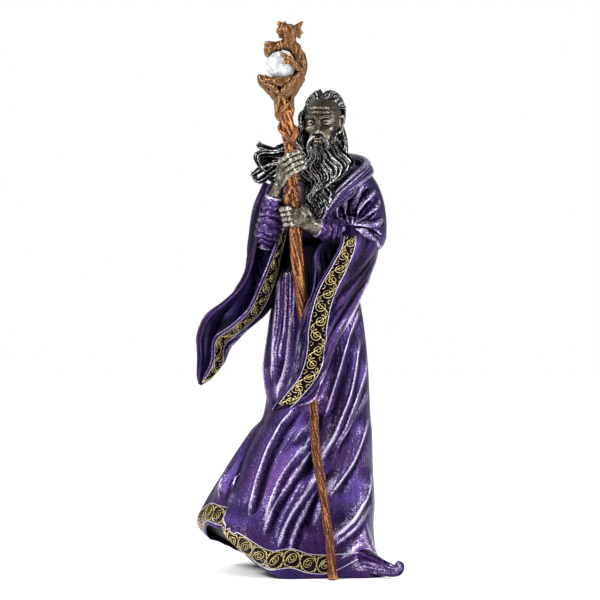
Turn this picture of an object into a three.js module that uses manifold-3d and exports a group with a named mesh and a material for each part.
// A robed wizard figure with a tall gnarled staff that holds a clear ball, built as the separate castings,
// dowels and wire that such a resin figure is assembled from. Millimetres, +Z up, the figure faces -Y and
// its right hand side is at -X. The origin is on the flat underside of the plug that closes the robe.
import * as THREE from "three";
import { mergeVertices } from "three/addons/utils/BufferGeometryUtils.js";
import Module from "manifold-3d";

const wasm = await Module();
wasm.setup();

// Driving dimensions
const WAIST_Z = 186; // joint between the skirt and torso castings
const BALL_RADIUS = 8; // a 16 mm glass marble
const GAP = 0.35; // clearance between neighbouring pieces
const PLUG_THICKNESS = 3;
const DOWEL_RADIUS = 2.2;
const WIRE_RADIUS = 0.8;
const WALL = 2.2; // cloth thickness of the hanging sleeves
const FINGER_RADIUS = 1.6;
const GRIP_RADIUS = 4.2; // from the staff's axis to the middle of a finger

// Paint finishes: colour, roughness, metalness
const FINISHES = {
  robe: [0x43307c, 0.38, 0.6],
  hair: [0x4c4d50, 0.38, 0.75],
  skin: [0x8f897b, 0.42, 0.7],
  staff: [0xa35c2c, 0.45, 0.3],
  glass: [0xe8eef0, 0.03, 0],
  plug: [0x26242c, 0.8, 0],
  dowel: [0xa8a08c, 0.7, 0],
  wire: [0x9a9ca0, 0.35, 1],
};

// --- building closed bodies -------------------------------------------------------------------------

const vector = ([x, y, z]) => new THREE.Vector3(x, y, z);
const mix = THREE.MathUtils.lerp;

// A closed body from a stack of rings with the same even number of points. Each end is closed by a ladder
// of faces between the ring's first and second half, or by a fan to a tip.
function stack(rings, tip) {
  const n = rings[0].length;
  const points = rings.flat();
  const faces = [];
  for (let row = 0; row < rings.length - 1; row++) {
    for (let i = 0; i < n; i++) {
      const a = row * n + i;
      const b = row * n + ((i + 1) % n);
      faces.push(a, b, b + n, a, b + n, a + n);
    }
  }
  const ladder = (start, flip) => {
    for (let i = 0; i < n / 2 - 1; i++) {
      const [a, b, c, d] = [start + i, start + i + 1, start + n - 2 - i, start + n - 1 - i];
      const corners = flip ? [a, b, c, a, c, d] : [a, c, b, a, d, c];
      faces.push(...corners);
    }
  };
  ladder(0, false);
  const last = (rings.length - 1) * n;
  if (tip) {
    points.push(tip);
    for (let i = 0; i < n; i++) faces.push(last + i, last + ((i + 1) % n), points.length - 1);
  } else ladder(last, true);
  return facingOut(new THREE.BufferGeometry().setFromPoints(points).setIndex(faces));
}

// The same geometry with its faces pointing out and its shared vertices merged.
function facingOut(geometry) {
  for (const name of ["normal", "uv"]) geometry.deleteAttribute(name);
  const merged = mergeVertices(geometry, 1e-4);
  const p = merged.attributes.position;
  const index = merged.index.array;
  const corner = (i) => new THREE.Vector3().fromBufferAttribute(p, index[i]);
  let volume = 0;
  for (let i = 0; i < index.length; i += 3) volume += corner(i).dot(corner(i + 1).cross(corner(i + 2)));
  if (volume < 0)
    for (let i = 0; i < index.length; i += 3) [index[i + 1], index[i + 2]] = [index[i + 2], index[i + 1]];
  return merged;
}

// Rings at more places along the body, on smooth curves through the given ones.
function smoothAlong(rings, steps) {
  const columns = rings[0].map((_, i) => new THREE.CatmullRomCurve3(rings.map((ring) => ring[i])));
  const count = (rings.length - 1) * steps;
  return Array.from({ length: count + 1 }, (_, k) => columns.map((curve) => curve.getPoint(k / count)));
}

// A horizontal slice of the body: left and right reach in X, front and back reach in Y.
function slice(z, left, right, front, back, sides = 24) {
  const [cx, cy] = [(left + right) / 2, (front + back) / 2];
  const [rx, ry] = [(right - left) / 2, (back - front) / 2];
  return Array.from({ length: sides }, (_, i) => {
    const turn = ((i + 0.5) / sides) * 2 * Math.PI;
    return new THREE.Vector3(cx + rx * Math.cos(turn), cy + ry * Math.sin(turn), z);
  });
}

// A round bar along a smooth curve, its radius given at each point.
function bar(points, radii, { sides = 10, steps = 3 } = {}) {
  const curve = new THREE.CatmullRomCurve3(points.map(vector));
  const count = (points.length - 1) * steps;
  const { normals, binormals } = curve.computeFrenetFrames(count);
  const rings = Array.from({ length: count + 1 }, (_, k) => {
    const at = (k / count) * (radii.length - 1);
    const low = Math.min(Math.floor(at), radii.length - 2);
    const radius = mix(radii[low], radii[low + 1], at - low);
    const centre = curve.getPointAt(k / count);
    return Array.from({ length: sides }, (_, i) => {
      const turn = ((i + 0.5) / sides) * 2 * Math.PI;
      return centre
        .clone()
        .addScaledVector(normals[k], radius * Math.cos(turn))
        .addScaledVector(binormals[k], radius * Math.sin(turn));
    });
  });
  return stack(rings);
}

// A sheet of cloth with a thickness. Each row runs from the front rim round the fold to the back rim.
function hangingCloth(rows, tip, steps = 2) {
  const rings = rows.map((row) => {
    const outer = row.map(vector);
    const middle = outer.reduce((sum, p) => sum.add(p), new THREE.Vector3()).divideScalar(outer.length);
    const inner = outer.map((p) => p.clone().lerp(middle, Math.min(0.45, WALL / p.distanceTo(middle))));
    const controls = [...outer, ...inner.reverse()];
    const curve = new THREE.CatmullRomCurve3(controls, true);
    const count = controls.length * steps;
    return Array.from({ length: count }, (_, i) => {
      const at = (i + 0.5) / count - 0.5 / controls.length;
      return curve.getPoint((at + 1) % 1);
    });
  });
  return stack(smoothAlong(rings, 2), vector(tip));
}

function ball(centre, radii, detail = 16) {
  const geometry = new THREE.SphereGeometry(1, detail, Math.round(detail * 0.6));
  return facingOut(geometry.scale(...radii).translate(...centre));
}

const dowel = (from, to, radius = DOWEL_RADIUS) => bar([from, to], [radius, radius], { steps: 1, sides: 12 });

// --- joining and cutting ----------------------------------------------------------------------------

function solidOf(geometry) {
  const vertProperties = new Float32Array(geometry.attributes.position.array);
  const triVerts = new Uint32Array(geometry.index.array);
  return new wasm.Manifold(new wasm.Mesh({ numProp: 3, vertProperties, triVerts }));
}

function geometryOf(solid) {
  const { numProp, numVert, vertProperties, triVerts } = solid.getMesh();
  const position = new Float32Array(numVert * 3);
  for (let i = 0; i < numVert; i++)
    position.set(vertProperties.subarray(i * numProp, i * numProp + 3), i * 3);
  return new THREE.BufferGeometry()
    .setAttribute("position", new THREE.BufferAttribute(position, 3))
    .setIndex([...triVerts]);
}

const join = (...parts) => geometryOf(parts.map(solidOf).reduce((all, next) => all.add(next)));

const largestBody = (solid) => solid.decompose().sort((a, b) => b.volume() - a.volume())[0];

// The geometry with every vertex moved out so that its faces stand off by the gap.
function grown(geometry, gap) {
  const made = geometry.clone();
  made.computeVertexNormals();
  const { position, normal } = made.attributes;
  const index = made.index.array;
  const sharpness = new Float32Array(position.count).fill(1);
  const corner = (i) => new THREE.Vector3().fromBufferAttribute(position, index[i]);
  for (let i = 0; i < index.length; i += 3) {
    const face = corner(i + 1).sub(corner(i)).cross(corner(i + 2).sub(corner(i))).normalize();
    for (let k = 0; k < 3; k++) {
      const vertex = index[i + k];
      const facing = face.dot(new THREE.Vector3().fromBufferAttribute(normal, vertex));
      sharpness[vertex] = Math.min(sharpness[vertex], Math.max(0.5, facing));
    }
  }
  for (let i = 0; i < position.count; i++) {
    const reach = gap / sharpness[i];
    position.setXYZ(
      i,
      position.getX(i) + normal.getX(i) * reach,
      position.getY(i) + normal.getY(i) * reach,
      position.getZ(i) + normal.getZ(i) * reach,
    );
  }
  return made;
}

// --- the staff --------------------------------------------------------------------------------------

const STAFF_JOINT_Z = 262;
const staffAxis = [
  [18.5, -37, 0.5], [15, -36.5, 33.5], [9, -35.5, 72.5], [7, -35, 101.5], [3, -34, 139.5],
  [-1, -34, 172], [-2.5, -34, 192.5], [-4, -34, 215], [-4.5, -34, 233.5], [-6, -33.5, 246],
  [-8.5, -33, STAFF_JOINT_Z],
];
const staffShaft = () => bar(staffAxis, [2.5, 2.2, 2.4, 2.2, 2.3, 2.6, 2.8, 3, 2.8, 3.6, 3.8]);
// The wire that stiffens the cast shaft shows at the shaft's lower end and stops short of the joint pin.
const staffCoreWire = () =>
  bar(staffAxis.slice(0, -1), [WIRE_RADIUS, WIRE_RADIUS], { sides: 6, steps: 3 });
const ballCentre = [-11, -34, 287.5];

function staffHead() {
  const crook = bar(
    [
      [-8.6, -33, STAFF_JOINT_Z + GAP], [-9, -33, 268], [-5.5, -32.5, 273], [0, -31.5, 278.5],
      [2, -31.5, 286.5], [0.3, -31.8, 294], [-4.5, -32.5, 299.5], [-11, -33.5, 299.3],
      [-16.5, -34, 298], [-18.8, -34.5, 293.5],
    ],
    [3.8, 3.8, 3.6, 3.2, 3, 3, 3, 2.6, 2.6, 1.2],
  );
  const cup = bar([[-9, -34, 268], [-14.5, -35, 272.5], [-19, -36, 276.5], [-22.3, -36, 281.5]], [3.4, 4, 3.2, 2]);
  const twig = bar([[1.5, -34, 285], [-2, -41.5, 288], [-6.5, -43.5, 289.5], [-11, -43.8, 292]], [1.8, 1.5, 1.3, 0.6]);
  const leftHorn = bar([[-4.5, -32, 298], [-5.5, -32, 304], [-8, -32.5, 308], [-12, -33, 311.3]], [3.6, 3.6, 2.8, 0.9]);
  const rightHorn = bar([[-5, -32, 301], [-3, -32, 305], [-0.5, -32, 308], [1.8, -32, 311.8]], [3.4, 3.4, 2.4, 0.9]);
  return join(crook, cup, twig, leftHorn, rightHorn);
}

// --- hands: a fist round the staff on the end of a bare forearm ---------------------------------------

// Fingers stacked along the staff, each an arc round it from one angle to another, in degrees.
function hand({ grip, lowest, fromAngle, toAngle, palm, forearm, forearmRadii }) {
  const fingers = [0, 1, 2, 3].map((k) => {
    const z = lowest + k * FINGER_RADIUS * 1.95;
    const arc = [0, 0.33, 0.66, 1].map((t) => {
      const turn = THREE.MathUtils.degToRad(mix(fromAngle, toAngle, t));
      return [grip[0] + GRIP_RADIUS * Math.cos(turn), grip[1] + GRIP_RADIUS * Math.sin(turn), z];
    });
    return bar(arc, [FINGER_RADIUS, FINGER_RADIUS * 0.9], { sides: 8, steps: 2 });
  });
  return join(ball(palm.centre, palm.radii), bar(forearm, forearmRadii), ...fingers);
}

const rightHand = () =>
  hand({
    grip: [-4.6, -34],
    lowest: 229,
    fromAngle: 150,
    toAngle: 350,
    palm: { centre: [-8.2, -31.5, 232], radii: [3.6, 4, 6.5] },
    forearm: [[-8.5, -31, 230], [-11, -27, 220.5], [-14.5, -22, 211], [-17, -18, 202]],
    forearmRadii: [3.8, 3, 3.4, 3.6],
  });

const leftHand = () =>
  hand({
    grip: [-3.4, -34],
    lowest: 199.5,
    fromAngle: 20,
    toAngle: -160,
    palm: { centre: [0.5, -32, 203.5], radii: [4, 4, 6] },
    forearm: [[0.5, -32, 202.5], [6, -30.5, 198.5], [12.5, -27.5, 196], [20, -24, 194.5]],
    forearmRadii: [3.8, 3, 3.4, 3.6],
  });

// --- head, hair and beard ---------------------------------------------------------------------------

const head = () =>
  join(
    ball([12.8, -4.5, 263], [10.2, 12.5, 12.6], 16),
    ball([12.2, -10, 253], [8.2, 8.2, 11.2], 14),
    bar([[13, -5, 250], [13.5, -1, 240], [13.5, 1, 229]], [6.4, 6.4]),
  );

const beard = () => {
  const rings = [
    slice(249, 4, 20, -20, -11, 20), slice(241, 1, 25, -24, -12, 20), slice(232, 0, 28.5, -25.5, -13, 20),
    slice(221, 1.5, 22, -25.5, -14, 20), slice(211, 4.5, 16, -25, -16, 20),
  ];
  return stack(smoothAlong(rings, 2), vector([9.5, -22, 203.5]));
};

const hairMane = () => {
  const cap = ball([12.8, -2, 263.5], [13, 14.2, 14], 16);
  const back = stack(smoothAlong([
    slice(266, 5, 21, -2, 8, 14), slice(254, 0.5, 26, 0, 14.5, 14), slice(240, 1, 27, 3, 18, 14),
    slice(228, 3, 25, 6, 22, 14),
  ], 2), vector([13, 15, 214]));
  const sideLock = bar(
    [[4, -7, 266], [2.5, -9, 256], [2, -10, 244], [1.5, -12, 231], [1.5, -15.5, 215]],
    [4, 5.6, 6.4, 5.6, 2.5],
  );
  return join(cap, back, sideLock);
};

const windblownLock = () => {
  const upper = bar([[2, -2, 236], [-8, -5, 235], [-16, -5, 239], [-22, -4, 242], [-26, -4, 238]], [4, 4.5, 4, 3, 1.2]);
  const lower = bar([[-4, -4, 233], [-13, -5, 232], [-21, -5, 230], [-28, -5, 227.5]], [4, 4.2, 3, 1]);
  return join(upper, lower);
};

// --- robe ---------------------------------------------------------------------------------------------

const rightCuff = () =>
  bar([[-13.8, -23, 212], [-16, -19.5, 204], [-18, -16, 196], [-19.5, -13, 189]], [4.8, 6, 6.6, 5.4], { sides: 12 });
const leftCuff = () =>
  bar([[11.8, -28, 196.3], [17, -25.5, 195], [24, -22, 194], [31, -17, 194]], [5, 6, 6.4, 5.6], { sides: 12 });

// A shawl collar round the neck, with the folded hood hanging behind it.
function hoodCollar() {
  const shawl = [
    [11, -22, 206], [21, -18.5, 215.5], [30.5, -12, 226], [36, 0, 232], [31, 12, 235], [14, 19, 233],
    [-4, 14, 229], [-11, 2, 224], [-8, -9, 218.5], [0.5, -18, 210.5],
  ];
  const hood = ball([14, 20, 217], [18, 10, 19], 16);
  return join(bar(shawl, [3.4, 4.4, 5, 5, 4.6, 4.4, 4.2, 3.4], { steps: 2, sides: 10 }), hood);
}

// Rows run down the sleeve, each from the front rim round the fold to the back rim.
const rightSleeveRows = [
  [[-11, -15, 211.5], [-7.5, -8, 210.5], [-9.5, 3, 212], [-18.5, 6, 212.5], [-23, -6, 213], [-20, -17, 213.5]],
  [[-11, -19, 195.5], [-7.5, -10, 196.5], [-8.5, 3, 198], [-21, 6, 199], [-27.5, -7, 200.5], [-23, -19, 202.5]],
  [[-16, -22, 181], [-11.5, -14, 181.5], [-9, 0, 181.5], [-23, 5, 184], [-30, -7, 186.5], [-25.5, -19, 185.5]],
  [[-21.5, -23, 167], [-16, -16, 164.5], [-12, -4, 163.5], [-25.5, 3, 165.5], [-32.5, -8, 167.5], [-30.5, -16, 168]],
  [[-29, -21, 151], [-24, -15, 150], [-19, -5, 150.5], [-34, 2, 152], [-42.5, -7, 154.5], [-40.5, -13, 156]],
  [[-39.5, -19, 141], [-34, -14, 139.5], [-28.5, -6, 142], [-45.5, 0, 142.5], [-53.5, -7, 145.5], [-51.5, -12, 146.5]],
  [[-48.5, -16, 134], [-44.5, -12, 131.5], [-40, -7, 131], [-50, -2, 132.5], [-57.5, -8, 134.5], [-56.5, -12, 135.5]],
  [[-50, -15, 122], [-47.5, -12, 120], [-45, -8, 120], [-52.5, -4, 121.5], [-57.5, -8, 124], [-56.5, -11, 125.5]],
  [[-54, -12.5, 113], [-53, -11.5, 111.5], [-51.5, -9, 112], [-55, -7, 112], [-58, -8, 113], [-57.5, -10.5, 114]],
];
const leftSleeveRows = [
  [[27.5, -34, 196], [37, -27, 197], [47.5, -9, 194.5], [34.5, 0, 192], [17, -18, 190.5], [12.5, -27, 190]],
  [[23, -36, 185], [33.5, -31, 184.5], [45.5, -12, 184], [30, -6, 181.5], [16, -22, 181], [8, -31, 181]],
  [[16.5, -38, 174], [28, -34, 173], [40, -15, 172], [25.5, -14, 171], [16, -26, 171], [9, -33, 172]],
  [[10.5, -41, 163.5], [22.5, -38, 162], [35.5, -20, 162], [23, -22, 160.5], [14.5, -31, 160.5], [7.5, -37, 161]],
  [[6.5, -44, 152], [16.5, -42, 151], [29.5, -27, 149.5], [18, -31, 149.5], [10.5, -37, 150], [3, -40, 150.5]],
  [[4, -46, 139.5], [13.5, -45, 139.5], [23.5, -33, 139.5], [13.5, -37, 139], [6.5, -39.5, 139], [-0.5, -41, 139]],
  [[3.5, -46.5, 129.5], [10.5, -46.5, 129.5], [18.5, -38, 128.5], [10, -39, 129], [4, -40.5, 129], [-2, -41.5, 129]],
  [[1.5, -46, 119.5], [7, -46.5, 119.5], [13.5, -41, 118.5], [6.5, -40, 118.5], [1.5, -41, 119], [-3.5, -41.5, 119]],
  [[-2, -45.5, 112], [2.5, -46, 111.5], [6.5, -42.5, 109], [1.5, -41, 109.5], [-2, -41.5, 110], [-6, -42, 110.5]],
  [[-8.5, -44.5, 104], [-5, -44.5, 103], [-1, -43, 100.5], [-5, -41.5, 101], [-8, -42, 102.5], [-10.5, -42.5, 103]],
];
const rightSleeve = () => hangingCloth(rightSleeveRows, [-57.5, -9.5, 107]);
const leftSleeve = () => hangingCloth(leftSleeveRows, [-15.5, -43, 94.5]);

function robeTorso() {
  const chest = stack(smoothAlong([
    slice(WAIST_Z + GAP, -12.5, 31, -16.5, 18), slice(204, -12.5, 32, -16, 18), slice(218, -14, 38, -15, 18),
    slice(228, -9, 35, -12, 16), slice(236, 0, 28, -7, 12),
  ], 2));
  const leftUpperArm = bar([[27, 4, 222], [36, 1, 212], [39.5, -5, 196]], [9, 9.5, 7.5], { sides: 12, steps: 2 });
  const rightUpperArm = bar([[-4, 4, 221], [-12.5, 0, 212], [-16.5, -6, 200]], [8, 8, 6], { sides: 12, steps: 2 });
  return join(chest, leftUpperArm, rightUpperArm);
}

// The skirt blows out to the figure's right, clear of the ground there, and trails to a curled tip at its left.
function robeSkirt() {
  const cone = stack(smoothAlong([
    slice(0, -23, 41, -32, 36), slice(9, -32, 42, -33, 37), slice(18, -45, 42.5, -32.5, 37),
    slice(27, -56, 43, -32, 36), slice(39, -54, 44, -31, 35), slice(57, -43.5, 42.5, -29, 32),
    slice(77, -29.5, 42, -27, 29), slice(92, -20.5, 40.5, -25, 27), slice(118, -18.5, 39.5, -22, 24),
    slice(142, -15.5, 37, -19.5, 21), slice(WAIST_Z, -12.5, 31, -16.5, 18),
  ], 2));
  const curl = bar([[30, -17, 4.6], [42, -25, 4], [51, -30, 3.8], [56, -30.5, 9]], [4.4, 3.8, 3, 1.6]);
  return join(cone, curl);
}

const basePlug = () => stack([slice(0, -19, 35, -29, 32), slice(PLUG_THICKNESS, -19, 35, -29, 32)]);

// --- assembly: a piece keeps its shape where it meets one listed after it ------------------------------

const pieces = [
  ["base_plug", "plug", basePlug()],
  ["waist_dowel_right", "dowel", dowel([0, 2, WAIST_Z - 10], [0, 2, WAIST_Z + 10])],
  ["waist_dowel_left", "dowel", dowel([18, 2, WAIST_Z - 10], [18, 2, WAIST_Z + 10])],
  ["right_sleeve_dowel", "dowel", dowel([-12, 4, 205], [-3, 4, 205], 1.4)],
  ["left_sleeve_dowel", "dowel", dowel([26, -2, 183], [34, -2, 187], 1.4)],
  ["hair_lock_dowel", "dowel", dowel([-5, -4, 234], [4, 1, 236], 1.2)],
  ["staff_joint_pin", "wire", dowel([-7.2, -33.3, 254], [-9, -33, 268], 1)],
  ["staff_core_wire", "wire", staffCoreWire()],
  ["crystal_ball", "glass", ball(ballCentre, [BALL_RADIUS, BALL_RADIUS, BALL_RADIUS], 28)],
  ["staff_shaft", "staff", staffShaft()],
  ["staff_head", "staff", staffHead()],
  ["right_hand", "skin", rightHand()],
  ["left_hand", "skin", leftHand()],
  ["head", "skin", head()],
  ["beard", "hair", beard()],
  ["hair_windblown_lock", "hair", windblownLock()],
  ["hair_mane", "hair", hairMane()],
  ["right_cuff", "robe", rightCuff()],
  ["left_cuff", "robe", leftCuff()],
  ["hood_collar", "robe", hoodCollar()],
  ["right_sleeve", "robe", rightSleeve()],
  ["left_sleeve", "robe", leftSleeve()],
  ["robe_torso", "robe", robeTorso()],
  ["robe_skirt", "robe", robeSkirt()],
];

const figure = new THREE.Group();
const cutters = [];
for (const [name, finish, geometry] of pieces) {
  const cut = cutters.reduce((solid, cutter) => solid.subtract(cutter), solidOf(geometry));
  const [color, roughness, metalness] = FINISHES[finish];
  const material = new THREE.MeshStandardMaterial({ color, roughness, metalness });
  const mesh = new THREE.Mesh(geometryOf(largestBody(cut)), material);
  mesh.name = name;
  figure.add(mesh);
  cutters.push(solidOf(grown(geometry, GAP)));
}

export default figure;
